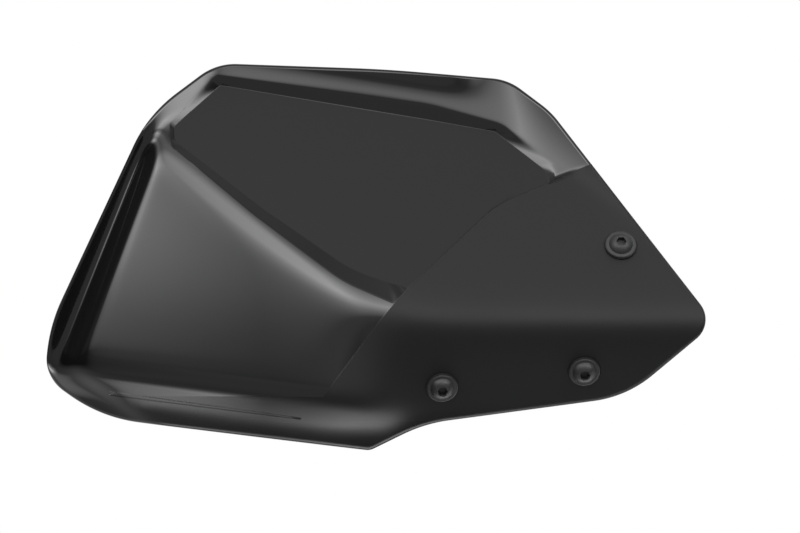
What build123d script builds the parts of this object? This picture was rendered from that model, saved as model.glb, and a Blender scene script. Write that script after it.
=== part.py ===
from build123d import *
import math
import os

os.makedirs("parts", exist_ok=True)

# The frame: X runs along the handlebar towards the middle of the motorcycle, Y towards the
# rider and Z up. The origin is the middle of the handlebar clamp's bore.

# Outline of the shell seen from the front: corner x, corner z, corner radius.
outline = [
    (-186.9, 104.8, 25.5),
    (-112.5, 102.1, 620),
    (-57.7, 97.5, 24),
    (-38.8, 83.2, 39),
    (32.9, -10.2, 11),
    (-5.7, -42.6, 50),
    (-94.6, -54.5, 66),
    (-118.8, -66.4, 6),
    (-238.1, -52.4, 66),
    (-262.9, -34.6, 17),
    (-260.3, -11.1, 75),
    (-216.9, 81.9, 64),
]
corners = [(x, z) for x, z, radius in outline]
radii = [radius for x, z, radius in outline]

# Front of the shell: a flat upper facet folded back at the keel.
keel_y = -96.0
keel_z = -6.0
keel_width = 4.5
keel_below = 5.4
in_slope = 0.09
upper_slope = 0.625
lower_slope = 0.616
wall = 3.4
rim_depth = 9.5
rim_wall = 3.0
cavity_depth = 40.0
front_tolerance = 0.04

# Ridge of the blister, which climbs to the outboard side, and the crease above the bottom lip.
ridge_x = -112.0
ridge_slope = 0.785
ridge_round = 10.0
crease_x = -233.6
crease_z = -41.8
crease_slope = -0.128
crease_turn = 0.25

# Blister: how much less the shell folds back there, its belly and its crown along X.
blister_x = -109.0
blister_blend = 7.0
blister_rise = 0.78
belly_drop = 0.08
belly_round = 11.4
belly_share = 0.51
belly_turn = 0.39
belly_x = -180.0
crown = 0.001
crown_x = -170.0
crown_blend = 8.0
crease_drop = 2.1
crease_round = 2.4
crease_above = 8.1
lip_rise = 1.2
lip_round = 3.0

# Bands along the rim that turn forward: from, to and how steeply.
rim_lines = [
    ((-180.4, 94.2), (-63.4, 74.4), 0.41),
    ((-63.4, 74.4), (4.0, 23.0), 0.565),
    ((-205.5, 76.6), (-185.2, 95.0), 0.56),
    ((-254.3, -17.6), (-220.0, 66.0), 0.62),
]
rim_blend = 1.2
rim_round = 1.0

# Channel along the blister's outboard side and round its lower corner.
channel_side = ((-243.8, -15.0), (-216.5, 56.8))
channel_corner = ((-225.0, -46.0), (-250.0, -27.0))
channel_drop = 6.0
channel_slope = 1.05
channel_blend = 3.0
channel_round = 1.3
channel_top = 66.0
channel_reach = 90.0

# Panel recess: foot x and z on the floor, then ledge x and z on the front.
floor_back = 6.0
floor_turn = 0.020
floor_head = 9.0
floor_turn_x = -190.0
floor_place = (-120.0, 40.0)
least_rise = 2.0
deep_margin = 2.0
panel_corners = [
    ((-185.2, 95.0), (-187.0, 99.3)),
    ((-205.5, 76.6), (-207.3, 77.8)),
    ((-205.2, 70.0), (-206.6, 67.8)),
    ((-165.9, 39.6), (-170.0, 37.6)),
    ((-127.2, 13.2), (-130.8, 8.2)),
    ((-102.5, 6.0), (-107.5, -1.4)),
    ((-64.7, 40.5), (-64.5, 40.3)),
    ((-39.2, 51.0), (-36.6, 52.0)),
    ((-41.4, 57.2), (-40.4, 58.2)),
    ((-63.4, 74.4), (-62.9, 75.6)),
    ((-92.4, 79.6), (-92.0, 86.2)),
]

# Fasteners through the shell.
screw_radius = 3.0
screw_length = 16.0
head_height = 3.3
dome_radius = 5.25
flange_radius = 6.8
flange_height = 0.9
flange_edge = 0.25
flange_taper = 0.35
flange_rise = 0.1
dome_shoulder = 0.76
dome_drop = 0.75
dome_top = 0.5
key_flats = 4.0
key_depth = 2.2
head_round = 2.2
tip_chamfer = 0.6
front_seat = -0.3
boss_back = -4.0
boss_front = -0.6
boss_radius = 11.0
seat_cut = 6.0
hole_cut = 20.0
seat_gap = 0.4
slope_step = 0.5
hole_radius = 5.6
grommet_front = 0.9
grommet_front_radius = 7.0
grommet_back = 1.2
grommet_back_radius = 9.0
grommet_round = 0.35
sleeve_radius = 4.3
sleeve_bore = 3.25
plate = 3.0
nut_height = 6.0
nut_flats = 10.0
nut_flange_radius = 7.1
nut_flange_height = 1.2
thread_gap = 0.05

# Handlebar clamp.
bar_radius = 11.1
liner = 1.0
clamp_x = -7.0
clamp_width = 26.0
clamp_front = -24.0
clamp_round = 3.0
clamp_chamfer = 0.8
split_gap = 0.5
ear_back = 9.0
ear_margin = 0.5
cap_radius = 18.0
screw_web = 2.4
clamp_screw_length = 20.0
cap_head_radius = 5.0
cap_head_height = 6.0
cap_key_flats = 5.0
cap_key_depth = 3.0
washer_height = 1.6
washer_radius = 6.0
washer_gap = 0.6
tip_gap = 1.0
clamp_screw_z = bar_radius + liner + screw_radius + screw_web
clamp_half_height = clamp_screw_z + washer_radius + ear_margin

# Carrier between the shell and the clamp, its outline as x, z, radius.
carrier_outline = [
    (-22.0, 34.0, 8),
    (-6.5, 34.0, 7),
    (14.0, 6.0, 8),
    (10.0, -18.0, 12),
    (-12.0, -39.5, 10),
    (-98.0, -49.5, 10),
    (-98.0, -27.0, 10),
    (-44.0, 0.0, 30),
]
carrier_fold = 7.0
slot_place = (-52, -24)
slot_length = 44.0
slot_width = 11.0
slot_turn = 5.0
arm_flange = 4.0
arm_screw_length = 12.0
arm_screw_inset = 7.0
arm_thickness = 4.0
arm_top = 10.0
arm_bottom = -25.0
arm_gap = 2.0
arm_hole_place = (-54, -3)
arm_hole_radius = 7.0
arm_corner = 1.0
arm_end = 0.5

# Grid of points that carries the front: it leans with the outboard side.
grid_rows = 60
grid_columns = 70
grid_low = -80.0
grid_high = 116.0
grid_bias = 0.33
grid_left = -272.0
grid_right = 60.0
grid_lean = 0.38
grid_lean_x = -150.0
grid_lean_blend = 25.0
step_limit = 60.0


def fold(t, w):
    """Zero for t far below zero, t far above it, and rounded over about w between."""
    return w * math.log1p(math.exp(-abs(t) / w)) + max(t, 0.0)


def step(t, w):
    """Zero to one, rounded over about w."""
    return 1 / (1 + math.exp(-max(-step_limit, min(step_limit, t / w))))


def ridge(x):
    """Height of the keel, which climbs to the outboard side along the blister."""
    return keel_z + ridge_slope * fold(ridge_x - x, ridge_round)


def crease(x):
    """Height of the crease above the bottom lip."""
    return crease_z + crease_slope * (x - crease_x) + crease_turn * fold(x - ridge_x, crown_blend)


def inside(x, z, a, b):
    """Distance to the right of the line from a to b."""
    return ((x - a[0]) * (b[1] - a[1]) - (z - a[1]) * (b[0] - a[0])) / math.dist(a, b)


def least(values, width):
    """The least of the values, rounded over about width where two are near each other."""
    low = min(values)
    return low - width * math.log(sum(math.exp((low - v) / width) for v in values))


def front(x, z):
    """Y of the shell's front at x and z."""
    blister = step(blister_x - x, blister_blend)
    r = ridge(x)
    c = crease(x)
    belly = c + (r - c) * belly_share + belly_turn * (x - belly_x)
    y = keel_y + in_slope * x + upper_slope * (z - keel_z)
    y += (upper_slope + lower_slope - blister_rise * blister) * fold(r - keel_below - z, keel_width)
    y += belly_drop * blister * fold(belly - z, belly_round)
    y += crease_drop * blister * fold(c + crease_above - z, crease_round)
    y -= lip_rise * blister * fold(c - z, lip_round)
    y += crown * blister * step(r - z, crown_blend) * (x - crown_x) ** 2
    y -= fold(-least([slope * inside(x, z, a, b) for a, b, slope in rim_lines], rim_blend), rim_round)
    sides = [min(inside(x, z, a, b), channel_reach) for a, b in (channel_side, channel_corner)]
    side = least(sides, channel_blend)
    drop = fold(-side, channel_round) - fold(-side - channel_drop, channel_round)
    return y + channel_slope * drop * step(channel_top - z, channel_blend)


def front_face(back):
    """The front as one smooth face moved back along Y, its columns leaning with the left side."""
    rows = []
    for k in range(grid_rows):
        t = k / (grid_rows - 1)
        z = grid_low + (grid_high - grid_low) * (t + grid_bias * (t**3 - t))
        row = []
        for m in range(grid_columns):
            upright = grid_left + (grid_right - grid_left) * m / (grid_columns - 1)
            x = upright + grid_lean * step(grid_lean_x - upright, grid_lean_blend) * z
            row.append(Vector(x, front(x, z) + back, z))
        rows.append(row)
    rows.reverse()
    return Face.make_surface_from_array_of_points(rows, tol=front_tolerance, min_deg=3, max_deg=3)


def floor_y(x, z, back):
    """Y of the recess floor, a flat plane behind the front."""
    turn = floor_back - floor_turn * (x - floor_turn_x)
    return keel_y + in_slope * x + upper_slope * (z - keel_z) + turn + back


def floor_plane(back):
    """The plane of the recess floor moved back along Y."""
    slope = in_slope - floor_turn
    return Plane(
        origin=(floor_place[0], floor_y(*floor_place, back), floor_place[1]),
        x_dir=(1, slope, 0),
        z_dir=(slope, -1, upper_slope),
    )


def recess_ring(back, lead):
    """Corners of the recess where its drafted walls meet a plane, lead in front of the floor."""
    plane = floor_plane(back - lead)
    ring = []
    for foot, ledge in panel_corners:
        rise = floor_y(ledge[0], ledge[1], 0) - front(ledge[0], ledge[1])
        reach = lead / max(rise, least_rise)
        x = foot[0] + (ledge[0] - foot[0]) * reach
        z = foot[1] + (ledge[1] - foot[1]) * reach
        local = plane.to_local_coords(Vector(x, floor_y(x, z, back - lead), z))
        ring.append((local.X, local.Y))
    return plane, ring


# The recess as it is cut from the front, and the same grown by the wall for the cavity.
foot_plane, foot_ring = recess_ring(0, 0)
head_plane, head_ring = recess_ring(0, floor_head)
with BuildPart() as recess:
    with BuildSketch(foot_plane):
        with BuildLine():
            Polyline(*foot_ring, close=True)
        make_face()
    with BuildSketch(head_plane):
        with BuildLine():
            Polyline(*head_ring, close=True)
        make_face()
    loft(ruled=True)

deep_foot_plane, deep_foot_ring = recess_ring(wall, 0)
deep_head_plane, deep_head_ring = recess_ring(wall, floor_head + wall)
with BuildPart() as deep_recess:
    with BuildSketch(deep_foot_plane):
        with BuildLine():
            Polyline(*deep_foot_ring, close=True)
        make_face()
        offset(amount=deep_margin, kind=Kind.INTERSECTION)
    with BuildSketch(deep_head_plane):
        with BuildLine():
            Polyline(*deep_head_ring, close=True)
        make_face()
        offset(amount=deep_margin, kind=Kind.INTERSECTION)
    loft(ruled=True)

# The hollow behind the wall. Its rim flange is left out at the satin end, where the edge is plain.
far = 150.0
front_plane = Plane.XZ.offset(far)
open_end = [(-36, 60), (70, 60), (70, -80), (-85, -80), (-92, -47), (-12, -34), (22, -10), (-28, 56)]
with BuildPart() as cavity:
    extrude(front_face(wall), amount=cavity_depth, dir=(0, 1, 0))
    with BuildSketch(front_plane):
        with BuildLine():
            FilletPolyline(*corners, radius=radii, close=True)
        make_face()
        offset(amount=-rim_wall, kind=Kind.INTERSECTION)
        with BuildLine():
            Polyline(*open_end, close=True)
        make_face()
    extrude(amount=-2 * far, mode=Mode.INTERSECT)
    add(deep_recess.part, mode=Mode.SUBTRACT)


def seat_plane(x, z, plane_x, plane_z):
    """Plane on the front at x and z, with the front's slope at plane_x and plane_z."""
    rise = front(plane_x, plane_z + slope_step) - front(plane_x, plane_z - slope_step)
    up = rise / (2 * slope_step)
    y = front(plane_x, plane_z) + in_slope * (x - plane_x) + up * (z - plane_z)
    return Plane(origin=(x, y, z), x_dir=(1, in_slope, 0), z_dir=(in_slope, -1, up))


# Screw places: the lower two share one plane, so that one flat leg of the carrier meets both.
upper_x, upper_z = -8.4, 23.8
inner_x, inner_z = -24.6, -31.2
outer_x, outer_z = -87.1, -38.3
upper_shift = 6.0
lower_mid_x = (inner_x + outer_x) / 2
lower_mid_z = (inner_z + outer_z) / 2
seats = {
    "upper": seat_plane(upper_x, upper_z, upper_x - upper_shift, upper_z - upper_shift),
    "inner": seat_plane(inner_x, inner_z, lower_mid_x, lower_mid_z),
    "outer": seat_plane(outer_x, outer_z, lower_mid_x, lower_mid_z),
}

with BuildPart() as shell:
    extrude(front_face(0), amount=rim_depth, dir=(0, 1, 0))
    with BuildSketch(front_plane):
        with BuildLine():
            FilletPolyline(*corners, radius=radii, close=True)
        make_face()
    extrude(amount=-2 * far, mode=Mode.INTERSECT)
    add(recess.part, mode=Mode.SUBTRACT)
    add(cavity.part, mode=Mode.SUBTRACT)
    for seat in seats.values():
        with BuildSketch(seat.offset(boss_back)):
            Circle(boss_radius)
        extrude(amount=boss_front - boss_back)
    for seat in seats.values():
        with BuildSketch(seat.offset(front_seat)):
            Circle(grommet_front_radius + seat_gap)
        extrude(amount=seat_cut, mode=Mode.SUBTRACT)
        with BuildSketch(seat.offset(boss_back - seat_cut)):
            Circle(hole_radius)
        extrude(amount=hole_cut, mode=Mode.SUBTRACT)
shell.part.label = "shell"
export_step(shell.part, "parts/shell.step")

# Screws, grommets, sleeves and nuts at the three seats.
carrier_front = boss_back - grommet_back
carrier_rear = carrier_front - plate
head_seat = front_seat + grommet_front

for key, seat in seats.items():
    with BuildPart() as grommet:
        with BuildSketch(seat.offset(front_seat)):
            Circle(grommet_front_radius)
        extrude(amount=grommet_front)
        with BuildSketch(seat.offset(boss_back)):
            Circle(hole_radius)
        extrude(amount=front_seat - boss_back)
        with BuildSketch(seat.offset(carrier_front)):
            Circle(grommet_back_radius)
        extrude(amount=grommet_back)
        fillet(grommet.edges().filter_by(GeomType.CIRCLE).group_by(Edge.radius.fget)[-1], grommet_round)
        with BuildSketch(seat.offset(carrier_front)):
            Circle(sleeve_radius)
        extrude(amount=head_seat - carrier_front, mode=Mode.SUBTRACT)
    grommet.part.label = "grommet_" + key
    export_step(grommet.part, "parts/grommet_" + key + ".step")

    with BuildPart() as sleeve:
        with BuildSketch(seat.offset(carrier_front)):
            Circle(sleeve_radius)
            Circle(sleeve_bore, mode=Mode.SUBTRACT)
        extrude(amount=head_seat - carrier_front)
    sleeve.part.label = "sleeve_" + key
    export_step(sleeve.part, "parts/sleeve_" + key + ".step")

    with BuildPart() as guard_screw:
        with BuildSketch(Plane(origin=seat.offset(head_seat).origin, x_dir=seat.x_dir, z_dir=-seat.y_dir)):
            with BuildLine():
                Polyline((0, 0), (flange_radius, 0), (flange_radius, flange_height - flange_edge))
                Line((flange_radius, flange_height - flange_edge), (flange_radius - flange_taper, flange_height))
                Line((flange_radius - flange_taper, flange_height), (dome_radius, flange_height + flange_rise))
                ThreePointArc(
                    (dome_radius, flange_height + flange_rise),
                    (dome_radius * dome_shoulder, head_height - dome_drop),
                    (dome_radius * dome_top, head_height),
                )
                Polyline((dome_radius * dome_top, head_height), (0, head_height), (0, 0))
            make_face()
        revolve(axis=Axis(seat.offset(head_seat).origin, seat.z_dir))
        with BuildSketch(seat.offset(head_seat)):
            Circle(screw_radius)
        extrude(amount=-screw_length)
        chamfer(guard_screw.faces().sort_by(Axis(seat.origin, seat.z_dir))[0].edges(), tip_chamfer)
        with BuildSketch(seat.offset(head_seat + head_height)):
            RegularPolygon(key_flats / 2, 6, major_radius=False)
        extrude(amount=-key_depth, mode=Mode.SUBTRACT)
    guard_screw.part.label = "guard_screw_" + key
    export_step(guard_screw.part, "parts/guard_screw_" + key + ".step")

    with BuildPart() as nut:
        with BuildSketch(seat.offset(carrier_rear)):
            Circle(nut_flange_radius)
        extrude(amount=-nut_flange_height)
        with BuildSketch(seat.offset(carrier_rear)):
            RegularPolygon(nut_flats / 2, 6, major_radius=False)
        extrude(amount=-nut_height)
        with BuildSketch(seat.offset(carrier_rear)):
            Circle(screw_radius + thread_gap)
        extrude(amount=-nut_height, mode=Mode.SUBTRACT)
    nut.part.label = "nut_" + key
    export_step(nut.part, "parts/nut_" + key + ".step")

# Carrier: a plate bent along the keel, parallel to both facets, with an arm back to the clamp.
lean = math.hypot(1, in_slope)
along_keel = Vector(1, in_slope, 0)
section = Plane(origin=(0, 0, 0), x_dir=(-in_slope, 1, 0), z_dir=along_keel)


def leg_line(seat, back):
    """Where the seat plane moved back crosses the carrier's section: its place at z = 0, its slope."""
    normal = seat.z_dir
    point = seat.offset(back).origin
    reach = -normal.X * in_slope / lean + normal.Y / lean
    start = (normal.X * point.X + normal.Y * point.Y + normal.Z * point.Z) / reach
    return start, -normal.Z / reach


def meet(one, other):
    """Crossing of two leg lines, as (s, z)."""
    z = (other[0] - one[0]) / (one[1] - other[1])
    return one[0] + one[1] * z, z


def arm_y(line, z):
    """Y of a leg line at height z, in the arm's middle plane."""
    return (line[0] + line[1] * z) * lean + in_slope * clamp_x


carrier_top = max(z for x, z, radius in carrier_outline)
carrier_bottom = min(z for x, z, radius in carrier_outline)
carrier_corners = [(x, z) for x, z, radius in carrier_outline]
carrier_radii = [radius for x, z, radius in carrier_outline]
top_out = leg_line(seats["upper"], carrier_front)
top_mid = leg_line(seats["upper"], carrier_front - plate / 2)
top_in = leg_line(seats["upper"], carrier_rear)
low_out = leg_line(seats["inner"], carrier_front)
low_mid = leg_line(seats["inner"], carrier_front - plate / 2)
low_in = leg_line(seats["inner"], carrier_rear)
fold_mid = meet(top_mid, low_mid)
arm_back = clamp_front - arm_flange
arm_root = clamp_screw_z - dome_radius - arm_gap
arm_screw_x = clamp_width / 2 - arm_screw_inset
flange_plane = Plane(origin=(clamp_x, arm_back, 0), x_dir=(1, 0, 0), z_dir=(0, -1, 0))
with BuildPart() as carrier:
    with BuildSketch(section):
        with BuildLine():
            Polyline(
                (top_out[0] + top_out[1] * carrier_top, carrier_top),
                meet(top_out, low_out),
                (low_out[0] + low_out[1] * carrier_bottom, carrier_bottom),
                (low_in[0] + low_in[1] * carrier_bottom, carrier_bottom),
                meet(top_in, low_in),
                (top_in[0] + top_in[1] * carrier_top, carrier_top),
                close=True,
            )
        make_face()
    extrude(amount=far, both=True)
    fold_edges = carrier.edges().filter_by(Axis((0, 0, 0), along_keel))
    fillet(fold_edges.sort_by(Axis.Y)[0], carrier_fold)
    with BuildSketch(front_plane):
        with BuildLine():
            FilletPolyline(*carrier_corners, radius=carrier_radii, close=True)
        make_face()
        with Locations(slot_place):
            SlotOverall(slot_length, slot_width, rotation=slot_turn, mode=Mode.SUBTRACT)
    extrude(amount=-2 * far, mode=Mode.INTERSECT)
    with BuildSketch(Plane.YZ.offset(clamp_x - arm_thickness / 2)):
        with BuildLine():
            FilletPolyline(
                (arm_y(top_mid, arm_top), arm_top),
                (arm_back, arm_root),
                (arm_back, -arm_root),
                (arm_y(low_mid, arm_bottom), arm_bottom),
                (arm_y(top_mid, fold_mid[1]), fold_mid[1]),
                radius=[arm_end, arm_corner, arm_corner, arm_end, arm_corner],
                close=True,
            )
        make_face()
        with Locations(arm_hole_place):
            Circle(arm_hole_radius, mode=Mode.SUBTRACT)
    extrude(amount=arm_thickness)
    with BuildSketch(flange_plane):
        RectangleRounded(clamp_width, 2 * clamp_half_height, clamp_round)
        with Locations((arm_screw_x, clamp_screw_z), (-arm_screw_x, -clamp_screw_z)):
            Circle(sleeve_bore, mode=Mode.SUBTRACT)
    extrude(amount=-arm_flange)
    for seat in seats.values():
        with BuildSketch(seat.offset(carrier_rear - plate / 2)):
            Circle(sleeve_bore)
        extrude(amount=2 * plate, mode=Mode.SUBTRACT)
carrier.part.label = "carrier"
export_step(carrier.part, "parts/carrier.step")

# Handlebar clamp, split at the bar, with a thin liner. Its screws come from behind, the arm's
# screws from in front, on the same heights.
clamp_side = Plane.YZ.offset(clamp_x - clamp_width / 2)
split_plane = Plane(origin=(clamp_x, -split_gap, 0), x_dir=(1, 0, 0), z_dir=(0, -1, 0))
front_end = Plane(origin=(clamp_x, clamp_front, 0), x_dir=(1, 0, 0), z_dir=(0, -1, 0))
ear_plane = Plane(origin=(clamp_x, ear_back, 0), x_dir=(1, 0, 0), z_dir=(0, -1, 0))
head_plane = ear_plane.offset(-washer_height)
clamp_hole = clamp_screw_length - washer_height - ear_back - split_gap + tip_gap
arm_hole = arm_screw_length - arm_flange + tip_gap
with BuildPart() as clamp_body:
    with BuildSketch(clamp_side):
        with Locations(((clamp_front - split_gap) / 2, 0)):
            RectangleRounded(-clamp_front - split_gap, 2 * clamp_half_height, clamp_round)
    extrude(amount=clamp_width)
    chamfer(clamp_body.faces().sort_by(Axis.X)[0].edges(), clamp_chamfer)
    chamfer(clamp_body.faces().sort_by(Axis.X)[-1].edges(), clamp_chamfer)
    with BuildSketch(clamp_side):
        Circle(bar_radius + liner)
    extrude(amount=clamp_width, mode=Mode.SUBTRACT)
    with BuildSketch(split_plane):
        with Locations((0, clamp_screw_z), (0, -clamp_screw_z)):
            Circle(screw_radius + thread_gap)
    extrude(amount=clamp_hole, mode=Mode.SUBTRACT)
    with BuildSketch(front_end):
        with Locations((arm_screw_x, clamp_screw_z), (-arm_screw_x, -clamp_screw_z)):
            Circle(screw_radius + thread_gap)
    extrude(amount=-arm_hole, mode=Mode.SUBTRACT)
clamp_body.part.label = "clamp_body"
export_step(clamp_body.part, "parts/clamp_body.step")

with BuildPart() as clamp_cap:
    with BuildSketch(clamp_side):
        with Locations(((split_gap + ear_back) / 2, 0)):
            Rectangle(ear_back - split_gap, 2 * clamp_half_height)
        Circle(cap_radius)
        with Locations((split_gap - far, 0)):
            Rectangle(2 * far, 2 * far, mode=Mode.SUBTRACT)
    extrude(amount=clamp_width)
    chamfer(clamp_cap.faces().sort_by(Axis.X)[0].edges(), clamp_chamfer)
    chamfer(clamp_cap.faces().sort_by(Axis.X)[-1].edges(), clamp_chamfer)
    with BuildSketch(clamp_side):
        Circle(bar_radius + liner)
    extrude(amount=clamp_width, mode=Mode.SUBTRACT)
    with BuildSketch(ear_plane):
        with Locations((0, clamp_screw_z), (0, -clamp_screw_z)):
            Circle(washer_radius + washer_gap)
    extrude(amount=-cap_radius, mode=Mode.SUBTRACT)
    with BuildSketch(ear_plane):
        with Locations((0, clamp_screw_z), (0, -clamp_screw_z)):
            Circle(sleeve_bore)
    extrude(amount=ear_back, mode=Mode.SUBTRACT)
clamp_cap.part.label = "clamp_cap"
export_step(clamp_cap.part, "parts/clamp_cap.step")

for key, side in (("front", -1), ("rear", 1)):
    with BuildPart() as liner_half:
        with BuildSketch(clamp_side):
            Circle(bar_radius + liner)
            Circle(bar_radius, mode=Mode.SUBTRACT)
            with Locations((side * (split_gap - far), 0)):
                Rectangle(2 * far, 2 * far, mode=Mode.SUBTRACT)
        extrude(amount=clamp_width)
    liner_half.part.label = "liner_" + key
    export_step(liner_half.part, "parts/liner_" + key + ".step")

for key, side in (("upper", 1), ("lower", -1)):
    with BuildPart() as clamp_washer:
        with BuildSketch(ear_plane):
            with Locations((0, side * clamp_screw_z)):
                Circle(washer_radius)
                Circle(sleeve_bore, mode=Mode.SUBTRACT)
        extrude(amount=-washer_height)
    clamp_washer.part.label = "clamp_washer_" + key
    export_step(clamp_washer.part, "parts/clamp_washer_" + key + ".step")

    with BuildPart() as clamp_screw:
        with BuildSketch(head_plane):
            with Locations((0, side * clamp_screw_z)):
                Circle(cap_head_radius)
        extrude(amount=-cap_head_height)
        chamfer(clamp_screw.faces().sort_by(Axis.Y)[-1].edges(), tip_chamfer)
        with BuildSketch(head_plane):
            with Locations((0, side * clamp_screw_z)):
                Circle(screw_radius)
        extrude(amount=clamp_screw_length)
        chamfer(clamp_screw.faces().sort_by(Axis.Y)[0].edges(), tip_chamfer)
        with BuildSketch(head_plane.offset(-cap_head_height)):
            with Locations((0, side * clamp_screw_z)):
                RegularPolygon(cap_key_flats / 2, 6, major_radius=False)
        extrude(amount=cap_key_depth, mode=Mode.SUBTRACT)
    clamp_screw.part.label = "clamp_screw_" + key
    export_step(clamp_screw.part, "parts/clamp_screw_" + key + ".step")

for key, side in (("inner", 1), ("outer", -1)):
    with BuildPart() as arm_screw:
        with BuildSketch(flange_plane):
            with Locations((side * arm_screw_x, side * clamp_screw_z)):
                Circle(dome_radius)
        extrude(amount=head_height)
        fillet(arm_screw.faces().sort_by(Axis.Y)[0].edges(), head_round)
        with BuildSketch(flange_plane):
            with Locations((side * arm_screw_x, side * clamp_screw_z)):
                Circle(screw_radius)
        extrude(amount=-arm_screw_length)
        chamfer(arm_screw.faces().sort_by(Axis.Y)[-1].edges(), tip_chamfer)
        with BuildSketch(flange_plane.offset(head_height)):
            with Locations((side * arm_screw_x, side * clamp_screw_z)):
                RegularPolygon(key_flats / 2, 6, major_radius=False)
        extrude(amount=-key_depth, mode=Mode.SUBTRACT)
    arm_screw.part.label = "arm_screw_" + key
    export_step(arm_screw.part, "parts/arm_screw_" + key + ".step")
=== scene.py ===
import math
import bpy
import numpy as np
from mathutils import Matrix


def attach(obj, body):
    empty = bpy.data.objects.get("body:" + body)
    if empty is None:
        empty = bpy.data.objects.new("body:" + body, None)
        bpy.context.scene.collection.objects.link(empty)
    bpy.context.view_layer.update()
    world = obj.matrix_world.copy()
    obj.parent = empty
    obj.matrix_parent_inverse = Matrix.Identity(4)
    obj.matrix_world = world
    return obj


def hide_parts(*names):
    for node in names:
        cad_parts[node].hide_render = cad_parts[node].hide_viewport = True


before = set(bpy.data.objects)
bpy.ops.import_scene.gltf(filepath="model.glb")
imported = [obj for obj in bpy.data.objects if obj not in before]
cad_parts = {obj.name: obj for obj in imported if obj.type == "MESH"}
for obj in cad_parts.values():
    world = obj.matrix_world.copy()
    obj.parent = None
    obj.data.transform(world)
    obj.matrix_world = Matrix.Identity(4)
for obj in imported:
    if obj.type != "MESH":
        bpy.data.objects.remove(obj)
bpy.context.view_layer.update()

scene = bpy.context.scene
scene.view_settings.view_transform = "Standard"
print("frame loaded:", len(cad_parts), "nodes")

# Shell

# All sizes in millimetres, seen from the front: x to the inboard side, z up, y back.
shellSize = {
    "keelY": -95.96,
    "keelZ": -6.0,
    "keelWidth": 4.5,
    "keelBelow": 5.4,
    "inSlope": 0.09,
    "upperSlope": 0.625,
    "lowerSlope": 0.616,
    "wall": 3.4,
    "rimDepth": 9.5,
    "rimWall": 3.0,
    "edgeRound": 1.6,
    "sharpAngle": 42,                           # edges from this many degrees stay crisp
    "floorBack": 2.6,
    "ridge": (-112.0, 0.785, 10.0),             # where it starts, slope, rounding
    "crease": (-233.6, -41.8, -0.128),          # x, z, slope
    "creaseTurn": (0.25, 8),                    # turn inboard of the ridge's start, rounding
    "blister": (-109.0, 7.0, 0.78),             # where it starts, blend, rise
    "belly": (0.08, 11.4, 0.51, 0.39, -180.0),  # drop, rounding, share of the height, turn, x
    "crown": (0.001, -170.0, 8.0),              # curve along x, its middle, blend
    "creaseFold": (2.1, 2.4, 8.1),              # drop, rounding, height above the crease
    "lip": (1.2, 3.0),                          # rise, rounding
    "rimLines": [                               # from, to, how steeply the band turns, its curve
        ((-180.4, 94.2), (-63.4, 74.4), 0.41, 0.0),
        ((-59.6, 79.4), (7.8, 28.0), 0.52, 0.003),
        ((-208.6, 80.0), (-188.3, 98.4), 0.56, 0.0),
        ((-254.3, -17.6), (-220.0, 66.0), 1.25, 0.0),
    ],
    "rimBlend": 1.2,
    "rimRound": 1.0,
    "channelSides": [((-243.8, -15.0), (-216.5, 56.8)), ((-225.0, -46.0), (-250.0, -27.0))],
    "channel": (6.0, 1.05, 3.0, 1.3, 70.0),     # width, slope, blend, rounding, top
    "strip": ((-149.6, 102.1), (-88.0, 92.4)),  # bead along the top: from, to
    "stripTurn": (0.3, 1.5, -76.0, 4),          # its slope, rounding, where it ends, blend
    "satinLine": (-109.1, -1.8, 0.74),          # x, z, slope of the gloss area's inboard end
    "satinFolds": [(-1.8, 0.31, 4.0), (41.0, 1.2, 1.5)],    # z where it turns, turn, rounding
    "satinBlend": 0.7,
    "roll": (-0.3, 0.9, 0.6),                   # the recess's wall: least, most turn, rounding
    "rollFrom": (-2, 0.3),                      # where it rolls over: degrees, blend
    "rollTo": (166, 1.7),
    "plainEdges": [(-32, 90), (-88, -30)],      # the edge is plain inboard of x and below z
    "plainBlend": 0.4,
    "centre": (-125.0, 55.0),                   # the rings of the mesh run round this point
}

# Closed curves from the middle outwards, each corner as x, z, radius.
shellRings = {
    "foot": [
        (-185.2, 95.0, 1.5), (-205.5, 76.6, 1.5), (-205.2, 70.0, 2), (-165.9, 39.6, 60),
        (-127.2, 13.2, 60), (-103.2, 5.0, 1), (-102.6, 5.4, 1), (-64.7, 40.5, 14),
        (-57.0, 45.2, 8), (-39.2, 51.0, 1), (-41.4, 57.2, 1.5), (-63.4, 74.4, 6),
        (-92.4, 79.6, 80),
    ],
    "ledge": [
        (-187.0, 99.3, 3), (-207.3, 77.8, 2), (-206.6, 67.8, 2), (-170.0, 37.6, 60),
        (-130.8, 8.2, 60), (-108.0, -1.8, 2), (-102.4, 5.6, 1), (-64.5, 40.3, 14),
        (-56.8, 45.0, 8), (-36.6, 52.0, 1), (-38.6, 60.2, 1.5), (-61.0, 77.6, 14),
        (-92.0, 86.2, 80),
    ],
    "bead": [
        (-187.5, 101.6, 20), (-212.0, 78.5, 12), (-214.0, 62.0, 4), (-244.5, -17, 20),
        (-246.0, -33, 6), (-234.0, -41.8, 3), (-130.0, -55.1, 100), (-106.0, -55.5, 20),
        (-93.5, -51.8, 40), (-6.4, -40.0, 44), (29.5, -10.4, 8), (-39.6, 81.2, 36),
        (-58.3, 95.4, 22), (-112.5, 100.0, 400),
    ],
    "outline": [
        (-186.9, 104.77, 25.5), (-216.9, 81.9, 64), (-260.3, -11.1, 75), (-262.9, -34.6, 17),
        (-238.1, -52.4, 66), (-118.8, -66.37, 6), (-94.6, -54.5, 66), (-5.7, -42.6, 50),
        (32.9, -10.2, 11), (-38.8, 83.2, 39), (-57.7, 97.5, 24), (-112.5, 102.1, 620),
    ],
}

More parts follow.
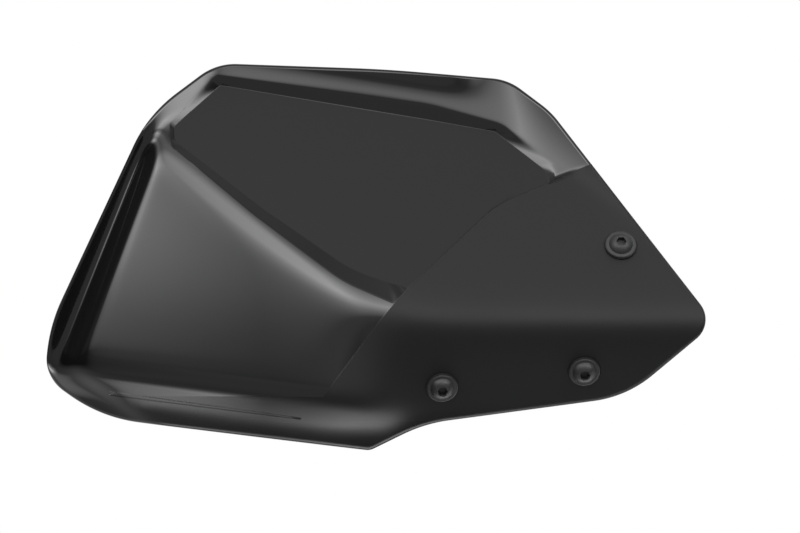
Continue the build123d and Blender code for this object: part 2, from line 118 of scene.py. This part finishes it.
# The rings of the mesh, as counts or as shares of the way over each part.
shellRows = {
    "around": 760,
    "samples": 6001,
    "evenness": {"outline": 1.0, "ledge": 0.8},     # whose length counts how much
    "floor": (0.25, 0.5, 0.75, 0.95),
    "floorMargin": 0.5,
    "wall": (0.0, 0.004, 0.03, 0.034, 0.1, 0.2, 0.3, 0.4, 0.5, 0.6, 0.7, 0.8, 0.9, 1.0),
    "wallStart": (0.004, 0.026),    # where the wall leaves the floor, and over what share
    "band": 54,
    "bandCrowding": 0.65,           # how much closer together at both ends, 0 to 1
    "bandFirst": 0.4,               # the first ring is at most this far from the ledge
    "bead": 22,
    "edgeDegrees": (22, 45, 68, 90),
    "outerFlange": (0.0, 0.5, 0.92, 1.0),
    "innerFlange": (0.0, 0.1, 0.5, 0.97),
    "back": 26,
    "backLedge": 2,                 # how far the back's rings lie outside those of the front
    "backFoot": 1.6,
    "backWall": (0.0, 0.5, 1.0),
    "backFloor": (0.96, 0.6, 0.25),
}


# A polygon with its corners turned into arcs, sampled as points along arcs and straights.
def roundedPolygon(corners, arcCount=24):
    spots = np.array(corners)[:, :2]
    radii = np.array(corners)[:, 2]
    toPrev = np.roll(spots, 1, axis=0) - spots
    toNext = np.roll(spots, -1, axis=0) - spots
    toPrev /= np.linalg.norm(toPrev, axis=1)[:, None]
    toNext /= np.linalg.norm(toNext, axis=1)[:, None]
    half = np.arccos(np.clip((toPrev * toNext).sum(axis=1), -1, 1)) / 2
    middle = toPrev + toNext
    middle /= np.linalg.norm(middle, axis=1)[:, None]
    centres = spots + middle * (radii / np.sin(half))[:, None]
    start = spots + toPrev * (radii / np.tan(half))[:, None] - centres
    end = spots + toNext * (radii / np.tan(half))[:, None] - centres
    first = np.arctan2(start[:, 1], start[:, 0])
    sweep = np.arctan2(end[:, 1], end[:, 0]) - first
    sweep = (sweep + np.pi) % (2 * np.pi) - np.pi
    angle = first[:, None] + sweep[:, None] * np.linspace(0, 1, arcCount)[None]
    rays = np.stack([np.cos(angle), np.sin(angle)], axis=2)
    arcs = centres[:, None] + radii[:, None, None] * rays
    return arcs.reshape(-1, 2)


# Radius of a closed curve from the centre, for each asked angle.
def radiusAt(curve, angles, samples=24001):
    centre = shellSize["centre"]
    dense = np.concatenate([curve, curve[:1]])
    steps = np.linspace(0, len(dense) - 1, samples)
    x = np.interp(steps, np.arange(len(dense)), dense[:, 0]) - centre[0]
    z = np.interp(steps, np.arange(len(dense)), dense[:, 1]) - centre[1]
    turn = np.unwrap(np.arctan2(z, x))
    order = np.argsort(turn)
    return np.interp(angles, turn[order], np.hypot(x, z)[order], period=2 * np.pi)


# A ramp: zero for t far below zero, t far above it, rounded over about w between.
def fold(t, w):
    return w * np.log1p(np.exp(-np.abs(t) / w)) + np.maximum(t, 0)


# A soft step from zero to one, rounded over about w.
def step(t, w):
    return 1 / (1 + np.exp(-np.clip(t / w, -60, 60)))


# Height of the keel: level at the inboard end, then climbing along the blister.
def ridge(x):
    start, slope, rounding = shellSize["ridge"]
    return shellSize["keelZ"] + slope * fold(start - x, rounding)


# Height of the crease above the bottom lip.
def crease(x):
    creaseX, creaseZ, slope = shellSize["crease"]
    turn, rounding = shellSize["creaseTurn"]
    return creaseZ + slope * (x - creaseX) + turn * fold(x - shellSize["ridge"][0], rounding)


# Distance to the right of the line from a to b.
def inside(x, z, a, b):
    right, up = b[0] - a[0], b[1] - a[1]
    return ((x - a[0]) * up - (z - a[1]) * right) / math.hypot(right, up)


# The least of several arrays, rounded over about width where two are near each other.
def least(values, width):
    stack = np.stack(values)
    low = stack.min(axis=0)
    return low - width * np.log(np.exp((low - stack) / width).sum(axis=0))


# How far a place is inside the rim's bands, in millimetres of their rise.
def insideRim(x, z):
    rises = []
    for a, b, slope, curve in shellSize["rimLines"]:
        distance = inside(x, z, a, b)
        rises.append(slope * distance - curve * np.minimum(distance, 0) ** 2)
    return least(rises, shellSize["rimBlend"])


# X of the boundary between the gloss and the satin area: a straight line with two turns.
def satinLine(z):
    startX, startZ, slope = shellSize["satinLine"]
    x = startX + slope * (z - startZ)
    for height, turn, rounding in shellSize["satinFolds"]:
        x = x + turn * fold(z - height, rounding)
    return x


# Y of the flat upper facet of the front.
def facetY(x, z):
    s = shellSize
    return s["keelY"] + s["inSlope"] * x + s["upperSlope"] * (z - s["keelZ"])


# Y of the shell's front. The upper facet, then back by a fold below the keel, a wide fold down
# the blister and one above the crease, forward by a fold below the crease, back by a crown that
# grows with the square of x, forward outside the rim's lines, back in a channel on the outboard
# side, and forward along the bead on top.
def front(x, z):
    s = shellSize
    start, blend, rise = s["blister"]
    blister = step(start - x, blend)
    r = ridge(x)
    c = crease(x)
    keelTurn = s["upperSlope"] + s["lowerSlope"] - rise * blister
    y = facetY(x, z) + keelTurn * fold(r - s["keelBelow"] - z, s["keelWidth"])
    drop, rounding, share, turn, bellyX = s["belly"]
    y = y + drop * blister * fold(c + (r - c) * share + turn * (x - bellyX) - z, rounding)
    drop, rounding, above = s["creaseFold"]
    y = y + drop * blister * fold(c + above - z, rounding)
    rise, rounding = s["lip"]
    y = y - rise * blister * fold(c - z, rounding)
    curve, middle, blend = s["crown"]
    y = y + curve * blister * step(r - z, blend) * (x - middle) ** 2
    y = y - fold(-insideRim(x, z), s["rimRound"])
    width, slope, blend, rounding, top = s["channel"]
    side = least([inside(x, z, a, b) for a, b in s["channelSides"]], blend)
    sunk = fold(-side, rounding) - fold(-side - width, rounding)
    y = y + slope * sunk * step(top - z, blend)
    slope, rounding, end, blend = s["stripTurn"]
    return y - slope * fold(-inside(x, z, *s["strip"]), rounding) * step(end - x, blend)


# Y of the flat floor of the panel recess.
def floorY(x, z):
    return facetY(x, z) + shellSize["floorBack"]


# Puts vertices, in millimetres, and faces into a new smooth mesh object.
def meshPiece(name, points, quads, triangles):
    mesh = bpy.data.meshes.new(name)
    mesh.from_pydata((points * 0.001).tolist(), [], quads.tolist() + triangles.tolist())
    mesh.polygons.foreach_set("use_smooth", np.ones(len(mesh.polygons), dtype=bool))
    mesh.update()
    piece = bpy.data.objects.new(name, mesh)
    scene.collection.objects.link(piece)
    return piece


# Quads between rings of count points, numbered from base, and triangles to the two poles that
# follow the rings.
def ringFaces(ringCount, count, base=0):
    around = base + np.arange(count)
    beside = base + (np.arange(count) + 1) % count
    rows = np.arange(ringCount - 1)[:, None] * count
    after = rows + count
    quads = np.stack([rows + around, rows + beside, after + beside, after + around], axis=2)
    pole = np.full(count, base + ringCount * count)
    last = (ringCount - 1) * count
    first = np.stack([pole, beside, around], axis=1)
    second = np.stack([pole + 1, last + around, last + beside], axis=1)
    return quads.reshape(-1, 4), np.concatenate([first, second])


# Angles of the rings' points, even along the outline and the ledge together, so that both stay
# smooth.
def ringAngles(curves):
    even = np.linspace(-np.pi, np.pi, shellRows["samples"])
    length = np.zeros(len(even))
    for name, weight in shellRows["evenness"].items():
        radius = radiusAt(curves[name], even)
        x, z = radius * np.cos(even), radius * np.sin(even)
        length[1:] += weight * np.cumsum(np.hypot(np.diff(x), np.diff(z)))
    wanted = np.linspace(0, length[-1], shellRows["around"], endpoint=False)
    return np.interp(wanted, length, even)


# The shell as rings from the middle of the recess over the front, round the rim and back inside.
def buildShell():
    s, rows = shellSize, shellRows
    curves = {name: roundedPolygon(corners) for name, corners in shellRings.items()}
    angles = ringAngles(curves)
    foot, ledge, bead, outline = (radiusAt(curve, angles) for curve in curves.values())
    cx, cz = s["centre"]
    cosA, sinA = np.cos(angles), np.sin(angles)

    def place(r):
        return cx + r * cosA, cz + r * sinA

    rings = []      # each is x, y, z arrays round the shell
    for r in [foot * t for t in rows["floor"]] + [foot - rows["floorMargin"]]:
        x, z = place(r)
        rings.append((x, floorY(x, z), z))

    # The wall of the recess: straight beside the blister, elsewhere the bands go on to the floor.
    footX, footZ = place(foot)
    ledgeX, ledgeZ = place(ledge)
    floorLine = floorY(footX, footZ)
    ledgeLine = front(ledgeX, ledgeZ)
    degrees = np.degrees(angles)
    rollStart, startBlend = s["rollFrom"]
    rollEnd, endBlend = s["rollTo"]
    soft = step(degrees - rollStart, startBlend) * step(rollEnd - degrees, endBlend)
    flattest, steepest, rounding = s["roll"]
    down = fold(insideRim(footX, footZ), s["rimRound"])
    turn = (floorLine - front(footX, footZ) - down) / fold(ledge - foot, rounding)
    turn = np.clip(turn, flattest, steepest) * soft

    # The front with the bands run on inwards, turned down to the recess's floor by the wall.
    def rolledFront(x, z, r):
        gloss = step(satinLine(z) - x, s["satinBlend"])
        down = fold(insideRim(x, z), s["rimRound"]) * soft * gloss
        return front(x, z) + down + turn * fold(ledge - r, rounding)

    leave, over = rows["wallStart"]
    for t in rows["wall"]:
        x, z = footX + (ledgeX - footX) * t, footZ + (ledgeZ - footZ) * t
        straight = floorLine + (ledgeLine - floorLine) * t
        rolled = np.minimum(rolledFront(x, z, foot + (ledge - foot) * t), floorY(x, z))
        rolled = floorLine + (rolled - floorLine) * np.clip((t - leave) / over, 0, 1)
        rings.append((x, straight + (rolled - straight) * soft, z))

    # Ledge to bead, closer together at both ends, then bead to the start of the rounded edge.
    steps = []
    crowding = rows["bandCrowding"]
    for k in range(1, rows["band"] + 1):
        t = k / rows["band"]
        t = (1 - crowding) * t + crowding * (3 * t * t - 2 * t**3)
        steps.append((bead - ledge) * t)
    steps[0] = np.minimum(steps[0], rows["bandFirst"])
    radii = [ledge + distance for distance in steps]
    edge = outline - s["edgeRound"]
    for k in range(1, rows["bead"] + 1):
        radii.append(bead + (edge - bead) * k / rows["bead"])
    for r in radii:
        x, z = place(r)
        rings.append((x, rolledFront(x, z, r), z))

    # The rounded edge, then the rim flange or the plain cut edge.
    outX, outZ = place(outline)
    blend = s["plainBlend"]
    plain = sum(step(outX - x, blend) * step(z - outZ, blend) for x, z in s["plainEdges"])
    depth = s["rimDepth"] + (s["wall"] - s["rimDepth"]) * np.clip(plain, 0, 1)
    for a in np.radians(rows["edgeDegrees"]):
        x, z = place(outline - s["edgeRound"] * (1 - np.sin(a)))
        rings.append((x, front(x, z) + s["edgeRound"] * (1 - np.cos(a)), z))
    outY = front(outX, outZ)
    for t in rows["outerFlange"]:
        rings.append((outX, outY + s["edgeRound"] + (depth - s["edgeRound"]) * t, outZ))
    inner = outline - s["rimWall"]
    inX, inZ = place(inner)
    inY = front(inX, inZ)
    for t in rows["innerFlange"]:
        rings.append((inX, inY + depth + (s["wall"] - depth) * t, inZ))

    # The back of the wall, in to the middle.
    backLedge = ledge + rows["backLedge"]
    for k in range(rows["back"]):
        t = 1 - k / rows["back"]
        x, z = place(backLedge + (inner - ledge - rows["backLedge"]) * t)
        rings.append((x, front(x, z) + s["wall"], z))
    highX, highZ = place(backLedge)
    lowX, lowZ = place(foot + rows["backFoot"])
    highY = front(highX, highZ) + s["wall"]
    lowY = floorY(lowX, lowZ) + s["wall"]
    for t in rows["backWall"]:
        x, z = highX + (lowX - highX) * t, highZ + (lowZ - highZ) * t
        rings.append((x, highY + (lowY - highY) * t, z))
    for t in rows["backFloor"]:
        x, z = place(foot * t)
        rings.append((x, floorY(x, z) + s["wall"], z))

    points = np.stack([np.stack(ring, axis=1) for ring in rings]).reshape(-1, 3)
    poleY = floorY(cx, cz)
    poles = np.array([[cx, poleY, cz], [cx, poleY + s["wall"], cz]])
    quads, triangles = ringFaces(len(rings), rows["around"])
    return meshPiece("shellMoulding", np.concatenate([points, poles]), quads, triangles)


# Bosses behind the screws and the stepped holes through them, on planes that lie on the front.
seatPlaces = {      # x, z, and the x, z where the plane takes the front's slope
    "upper": (-8.4, 23.8, -14.4, 17.8),
    "inner": (-24.6, -31.2, -55.85, -34.75),
    "outer": (-87.1, -38.3, -55.85, -34.75),
}
seatProfiles = {    # radius and height in front of the seat
    "boss": [(11.0, -4.0), (11.0, -0.6)],
    "hole": [(5.6, -10.0), (5.6, -0.3), (7.4, -0.3), (7.4, 5.7)],
}


# The same turned profile at each seat, closed at both ends, as one object. A seat's plane has
# the front's slope over the millimetre round its second place.
def turnedAtSeats(name, profile, sides=96):
    turn = np.linspace(0, 2 * np.pi, sides, endpoint=False)
    across = shellSize["inSlope"]
    spots, quads, caps = [], [], []
    for x, z, planeX, planeZ in seatPlaces.values():
        slope = float(front(planeX, planeZ + 0.5) - front(planeX, planeZ - 0.5))
        y = float(front(planeX, planeZ)) + across * (x - planeX) + slope * (z - planeZ)
        seat = np.array([x, y, z])
        normal = np.array([across, -1.0, slope]) / math.hypot(across, 1, slope)
        right = np.array([1.0, across, 0.0]) / math.hypot(1, across)
        up = np.cross(normal, right)
        circle = np.outer(np.cos(turn), right) + np.outer(np.sin(turn), up)
        base = sum(len(part) for part in spots)
        for radius, height in profile:
            spots.append(seat + normal * height + radius * circle)
        spots.append(np.stack([seat + normal * profile[end][1] for end in (0, -1)]))
        sideFaces, capFaces = ringFaces(len(profile), sides, base)
        quads.append(sideFaces)
        caps.append(capFaces)
    return meshPiece(name, np.concatenate(spots), np.concatenate(quads), np.concatenate(caps))


# Adds the bosses to the shell and cuts the holes, then keeps crisp edges crisp.
def drillShell(shell):
    tools = [turnedAtSeats(name, profile) for name, profile in seatProfiles.items()]
    for tool, operation in zip(tools, ("UNION", "DIFFERENCE")):
        change = shell.modifiers.new(operation, "BOOLEAN")
        change.operation = operation
        change.solver = "EXACT"
        change.object = tool
    shaped = shell.evaluated_get(bpy.context.evaluated_depsgraph_get())
    drilled = bpy.data.meshes.new_from_object(shaped)
    shell.modifiers.clear()
    shell.data = drilled
    for tool in tools:
        bpy.data.objects.remove(tool)
    drilled.polygons.foreach_set("use_smooth", np.ones(len(drilled.polygons), dtype=bool))
    drilled.set_sharp_from_angle(angle=math.radians(shellSize["sharpAngle"]))


# Materials

# The shell's two areas. Places and widths in millimetres, bump depths in metres.
shellLook = {
    "gloss": (0.0105, 0.0105, 0.011, 1),
    "satin": (0.0215, 0.0215, 0.022, 1),
    "glossRough": (0.07, 0.015),                # roughness, how far it wanders
    "satinRough": (0.5, 0.03),
    "satinEdge": (-57.0, -46.0, 0.38, 1.0),     # at the bottom edge: heights, shares of roughness
    "cloud": (18.0, 2.0),                       # of the wandering: scale, detail
    "coat": 0.6,
    "shine": 0.2,
    "ior": 1.5,
    "line": 0.12,                               # half the width of the areas' boundary
    "underHeights": (-42.7, -42.4),             # satin again below the crease, fading over z
    "underStart": (-225.0, -165.0),             # and over x
    "ripple": (60.0, 1.0, 0.02, 0.0006),        # scale, detail, strength, depth
    "grain": (2600.0, 2.0, 0.35, 0.00003),
    "groove": (-233.6, -41.4, -0.128),          # along the crease: x, z, slope
    "grooveWidth": (-233.6, -151.0, 1.1, 0.5),  # from x, to x, half the width at both
    "grooveSide": (0.4, 1.0),                   # shares of that width where its side falls
    "grooveEnds": ((-234.5, -232.5), (-153.0, -149.0)),
    "grooveBump": (1.0, 0.0009),
    "step": (-0.35, 0.15),                      # the satin's step, across the boundary
    "stepBump": (0.5, 0.00012),
}

# The other finishes: colour, metallic, roughness, grain scale, grain depth, and their nodes.
nodeLooks = {
    "carrierCoat": ((0.02, 0.02, 0.021), 0.0, 0.42, 1500.0, 0.00006, ("carrier",)),
    "clampAnodised": (
        (0.028, 0.028, 0.031), 0.6, 0.38, 3000.0, 0.00002,
        ("clamp_body", "clamp_cap"),
    ),
    "screwBlack": ((0.03, 0.03, 0.031), 0.0, 0.5, 2500.0, 0.00002, ("guard_screw", "arm_screw")),
    "zincPlate": (
        (0.42, 0.42, 0.43), 1.0, 0.34, 2500.0, 0.00002,
        ("clamp_screw", "clamp_washer", "sleeve", "nut"),
    ),
    "grommetRubber": ((0.014, 0.014, 0.014), 0.0, 0.72, 1800.0, 0.00004, ("grommet",)),
    "linerPlastic": ((0.05, 0.05, 0.054), 0.0, 0.55, 1800.0, 0.00003, ("liner",)),
}
nodeTexture = {
    "cloud": (35.0, 4.0, 0.6),      # scale, detail, roughness of the noise
    "variation": 0.15,
    "wander": 0.05,
    "grain": (3.0, 0.3),            # detail, strength
}


# Adds a node to a tree. A value that is a socket gets linked, any other is set.
def addNode(tree, kind, values=None, **settings):
    node = tree.nodes.new(kind)
    for key, value in settings.items():
        setattr(node, key, value)
    for key, value in (values or {}).items():
        if isinstance(value, bpy.types.NodeSocket):
            tree.links.new(value, node.inputs[key])
        else:
            node.inputs[key].default_value = value
    return node


# A material's node tree with its shader, and short ways to add and link nodes.
class Nodes:
    def __init__(self, name):
        self.material = bpy.data.materials.new(name)
        self.material.use_nodes = True
        self.tree = self.material.node_tree
        self.shader = self.tree.nodes["Principled BSDF"]
        self.coords = self.put("ShaderNodeTexCoord").outputs["Object"]

    def put(self, kind, values=None, **settings):
        return addNode(self.tree, kind, values, **settings)

    def math(self, operation, a, b=0.0, c=0.0):
        return self.put("ShaderNodeMath", {0: a, 1: b, 2: c}, operation=operation).outputs[0]

    def link(self, output, socket):
        self.tree.links.new(output, self.shader.inputs[socket])

    def fix(self, value, socket):
        self.shader.inputs[socket].default_value = value

    def noise(self, scale, detail=3.0, rough=0.5):
        values = {"Vector": self.coords, "Scale": scale, "Detail": detail, "Roughness": rough}
        return self.put("ShaderNodeTexNoise", values).outputs[0]

    def span(self, value, low, high, toLow, toHigh):
        values = {0: value, 1: low, 2: high, 3: toLow, 4: toHigh}
        return self.put("ShaderNodeMapRange", values).outputs[0]

    # A roughness that follows the noise, which lies mostly between 0.3 and 0.7.
    def wander(self, cloud, middle, spread):
        return self.span(cloud, 0.3, 0.7, middle - spread, middle + spread)

    def mix(self, factor, a, b):
        return self.put("ShaderNodeMix", {0: factor, 6: a, 7: b}, data_type="RGBA").outputs[2]

    def bump(self, height, strength, distance, normal=None):
        values = {"Strength": strength, "Distance": distance, "Height": height}
        if normal is not None:
            values["Normal"] = normal
        return self.put("ShaderNodeBump", values).outputs[0]


# Black plastic, gloss outboard and satin inboard of a curved boundary, in object coordinates.
def shellMaterial():
    look = shellLook
    n = Nodes("shellPlastic")
    split = n.put("ShaderNodeSeparateXYZ", {0: n.coords})
    x = n.math("MULTIPLY", split.outputs[0], 1000.0)
    z = n.math("MULTIPLY", split.outputs[2], 1000.0)

    def ramp(value, width):     # the same rounded ramp as fold, as nodes
        grown = n.math("DIVIDE", n.math("MINIMUM", value, 60.0 * width), width)
        grown = n.math("ADD", n.math("EXPONENT", grown), 1.0)
        return n.math("MULTIPLY", n.math("LOGARITHM", grown, math.e), width)

    # The areas: inboard of satinLine, and the strip under the crease.
    startX, startZ, slope = shellSize["satinLine"]
    line = n.math("MULTIPLY_ADD", n.math("SUBTRACT", z, startZ), slope, startX)
    for height, turn, rounding in shellSize["satinFolds"]:
        bend = ramp(n.math("SUBTRACT", z, height), rounding)
        line = n.math("MULTIPLY_ADD", bend, turn, line)
    across = n.math("SUBTRACT", x, line)
    side = n.span(across, -look["line"], look["line"], 0.0, 1.0)
    below = n.span(z, *look["underHeights"], 1.0, 0.0)
    under = n.math("MULTIPLY", below, n.span(x, *look["underStart"], 0.0, 1.0))
    satin = n.math("MAXIMUM", side, under)

    cloud = n.noise(*look["cloud"])
    glossRough = n.wander(cloud, *look["glossRough"])
    satinRough = n.wander(cloud, *look["satinRough"])
    satinRough = n.math("MULTIPLY", satinRough, n.span(z, *look["satinEdge"]))
    rough = n.put("ShaderNodeMix", {0: satin, 2: glossRough, 3: satinRough}).outputs[0]
    n.link(n.mix(satin, look["gloss"], look["satin"]), "Base Color")
    n.link(rough, "Roughness")
    n.link(n.math("MULTIPLY_ADD", satin, -look["coat"], look["coat"]), "Coat Weight")
    n.fix(look["glossRough"][0], "Coat Roughness")
    n.fix(look["ior"], "IOR")
    n.fix(look["shine"], "Specular IOR Level")

    scale, detail, strength, depth = look["ripple"]
    normal = n.bump(n.noise(scale, detail), strength, depth)
    scale, detail, strength, depth = look["grain"]
    normal = n.bump(n.math("MULTIPLY", n.noise(scale, detail), satin), strength, depth, normal)
    # A groove along the crease, narrower inboard.
    grooveX, grooveZ, slope = look["groove"]
    run = n.math("SUBTRACT", x, grooveX)
    rise = n.math("SUBTRACT", z, grooveZ)
    off = n.math("ABSOLUTE", n.math("MULTIPLY_ADD", run, -slope, rise))
    share = n.math("DIVIDE", off, n.span(x, *look["grooveWidth"]))
    first, last = look["grooveEnds"]
    ends = n.math("MULTIPLY", n.span(x, *first, 0.0, 1.0), n.span(x, *last, 1.0, 0.0))
    groove = n.math("MULTIPLY", n.span(share, *look["grooveSide"], -1.0, 0.0), ends)
    normal = n.bump(groove, *look["grooveBump"], normal)
    edgeStep = n.math("MAXIMUM", n.span(across, *look["step"], 0.0, 1.0), under)
    n.link(n.bump(edgeStep, *look["stepBump"], normal), "Normal")
    return n.material


# Coated or bare metal and rubber: a colour broken by noise, uneven roughness and a fine grain.
def plainFinish(name, colour, metallic, rough, grainScale, grainDepth):
    n = Nodes(name)
    cloud = n.noise(*nodeTexture["cloud"])
    variation = nodeTexture["variation"]
    light = tuple(min(1.0, c * (1 + variation)) for c in colour) + (1,)
    dark = tuple(c * (1 - variation) for c in colour) + (1,)
    detail, strength = nodeTexture["grain"]
    n.link(n.mix(cloud, dark, light), "Base Color")
    n.link(n.wander(cloud, rough, nodeTexture["wander"]), "Roughness")
    n.link(n.bump(n.noise(grainScale, detail), strength, grainDepth), "Normal")
    n.fix(metallic, "Metallic")
    return n.material


def dressNodes():
    for finish, (*look, starts) in nodeLooks.items():
        material = plainFinish(finish, *look)
        for name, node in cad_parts.items():
            if name.startswith(starts):
                node.data.materials.clear()
                node.data.materials.append(material)


# Studio

# In metres, but the sensor in millimetres.
studio = {
    "sensor": 36.0,
    "cameraBack": 6.0,
    "frontAhead": 0.085,            # the guard's front ahead of the origin
    "middle": (-0.1056, 0.0147),    # x and z at the middle of the picture
    "widthSeen": 0.352,
    "clipEnd": 100,
    "floorDrop": 0.30,
    "floorHalf": 4.0,
    "paper": ((0.78, 0.78, 0.78, 1), (0.82, 0.82, 0.82, 1)),
    "paperScale": 3.0,
    "paperRough": 0.8,
}


def addCamera():
    data = bpy.data.cameras.new("camera")
    data.sensor_width = studio["sensor"]
    distance = studio["cameraBack"] - studio["frontAhead"]
    data.lens = studio["sensor"] * distance / studio["widthSeen"]
    data.clip_end = studio["clipEnd"]
    camera = bpy.data.objects.new("camera", data)
    camera.location = (studio["middle"][0], -studio["cameraBack"], studio["middle"][1])
    camera.rotation_euler = (math.pi / 2, 0, 0)
    scene.collection.objects.link(camera)
    scene.camera = camera


# Light by direction, as stops of angle and brightness. The height is 0 in front, 90 above, 180
# behind and -90 below; the side is -90 on the left and 90 on the right. Reflections see the sum
# of the three patches, each its height times its side; softer rays see "soft".
sky = {
    "even": (       # a plain light all round, brightest behind
        [
            (-180, 0.8), (-150, 0.4), (-125, 0.3), (-95, 0.35), (-80, 0.35), (-60, 0.45),
            (-40, 0.48), (-15, 0.46), (-2, 0.5), (2, 0.2), (20, 0.33), (45, 0.3), (64, 0.6),
            (80, 0.4), (130, 0.5), (160, 1.0), (180, 1.0),
        ],
        [
            (-90, 0.0), (-62, 0.05), (-50, 0.6), (-40, 1.0), (45, 1.0), (60, 0.3), (70, 0.1),
            (90, 0.05),
        ],
    ),
    "box": (        # a large soft light in front, brightest about 30 degrees up
        [
            (-2, 0), (3, 0.31), (10, 0.4), (20, 2.73), (30, 7.07), (40, 5.5), (50, 1.8),
            (60, 1.0), (70, 0),
        ],
        [
            (-90, 0.0), (-58, 0.03), (-50, 0.7), (-45, 1.1), (-30, 0.54), (-18, 0.85),
            (-8, 1.11), (0, 0.58), (8, 0.3), (18, 1.0), (35, 1.19), (52, 0.95), (58, 0.2),
            (64, 0.05), (90, 0.0),
        ],
    ),
    "under": (      # a low light below, for the bottom edge
        [
            (-128, 0.0), (-119, 1.0), (-113, 1.7), (-109, 2.6), (-105, 2.2), (-99, 1.0),
            (-88, 0.0),
        ],
        [(-90, 0.0), (-28, 0.0), (-20, 0.9), (-15, 1.9), (-8, 2.3), (20, 2.3), (90, 1.0)],
    ),
    "soft": [(-180, 0.5), (-90, 0.08), (0, 0.3), (60, 1.3), (90, 1.6), (120, 1.5), (180, 0.5)],
}


def addWorld():
    world = bpy.data.worlds.new("studio")
    world.use_nodes = True
    scene.world = world
    tree = world.node_tree
    tree.nodes.clear()

    def put(kind, values=None, **settings):
        return addNode(tree, kind, values, **settings)

    def combine(operation, a, b=0.0):
        return put("ShaderNodeMath", {0: a, 1: b}, operation=operation).outputs[0]

    # Brightness between the stops, for an angle in radians.
    def ramp(angle, stops):
        low, high = stops[0][0], stops[-1][0]
        top = max(value for degrees, value in stops)
        values = {0: angle, 1: math.radians(low), 2: math.radians(high)}
        node = put("ShaderNodeValToRGB", {0: put("ShaderNodeMapRange", values).outputs[0]})
        points = node.color_ramp.elements
        while len(points) < len(stops):
            points.new(0.5)
        for point, (degrees, value) in zip(points, stops):
            point.position = (degrees - low) / (high - low)
            point.color = (value / top, value / top, value / top, 1)
        return combine("MULTIPLY", node.outputs[0], top)

    split = put("ShaderNodeSeparateXYZ", {0: put("ShaderNodeTexCoord").outputs["Generated"]})
    ahead = combine("MULTIPLY", split.outputs[1], -1.0)
    height = combine("ARCTAN2", split.outputs[2], ahead)
    side = combine("ARCSINE", split.outputs[0])
    given = 0.0
    for name in ("even", "box", "under"):
        tall, wide = sky[name]
        given = combine("ADD", given, combine("MULTIPLY", ramp(height, tall), ramp(side, wide)))
    path = put("ShaderNodeLightPath")
    sharp = {0: path.outputs["Is Glossy Ray"], 2: ramp(height, sky["soft"]), 3: given}
    seen = put("ShaderNodeMix", sharp).outputs[0]
    level = put("ShaderNodeMix", {0: path.outputs["Is Camera Ray"], 2: seen, 3: 1.0}).outputs[0]
    back = put("ShaderNodeBackground", {0: (1, 1, 1, 1), 1: level})
    put("ShaderNodeOutputWorld", {0: back.outputs[0]})


def addFloor():
    mesh = bpy.data.meshes.new("floor")
    half, low = studio["floorHalf"], -studio["floorDrop"]
    corners = [(-half, -half, low), (half, -half, low), (half, half, low), (-half, half, low)]
    mesh.from_pydata(corners, [], [(0, 1, 2, 3)])
    floor = bpy.data.objects.new("floor", mesh)
    scene.collection.objects.link(floor)
    n = Nodes("floorPaper")
    n.link(n.mix(n.noise(studio["paperScale"]), *studio["paper"]), "Base Color")
    n.fix(studio["paperRough"], "Roughness")
    # Reflected rays pass through the floor to the light of that direction.
    path = n.put("ShaderNodeLightPath")
    clear = n.put("ShaderNodeBsdfTransparent")
    passing = n.math("MAXIMUM", path.outputs["Is Glossy Ray"], path.outputs["Is Diffuse Ray"])
    mixed = n.put("ShaderNodeMixShader", {0: passing, 1: n.shader.outputs[0], 2: clear.outputs[0]})
    n.tree.links.new(mixed.outputs[0], n.tree.nodes["Material Output"].inputs[0])
    mesh.materials.append(n.material)


shell = buildShell()
drillShell(shell)
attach(shell, "root")
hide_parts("shell")
shell.data.materials.append(shellMaterial())
print("shell:", len(shell.data.polygons), "faces")

dressNodes()
print("node finishes done")

addCamera()
addWorld()
addFloor()
print("studio done")
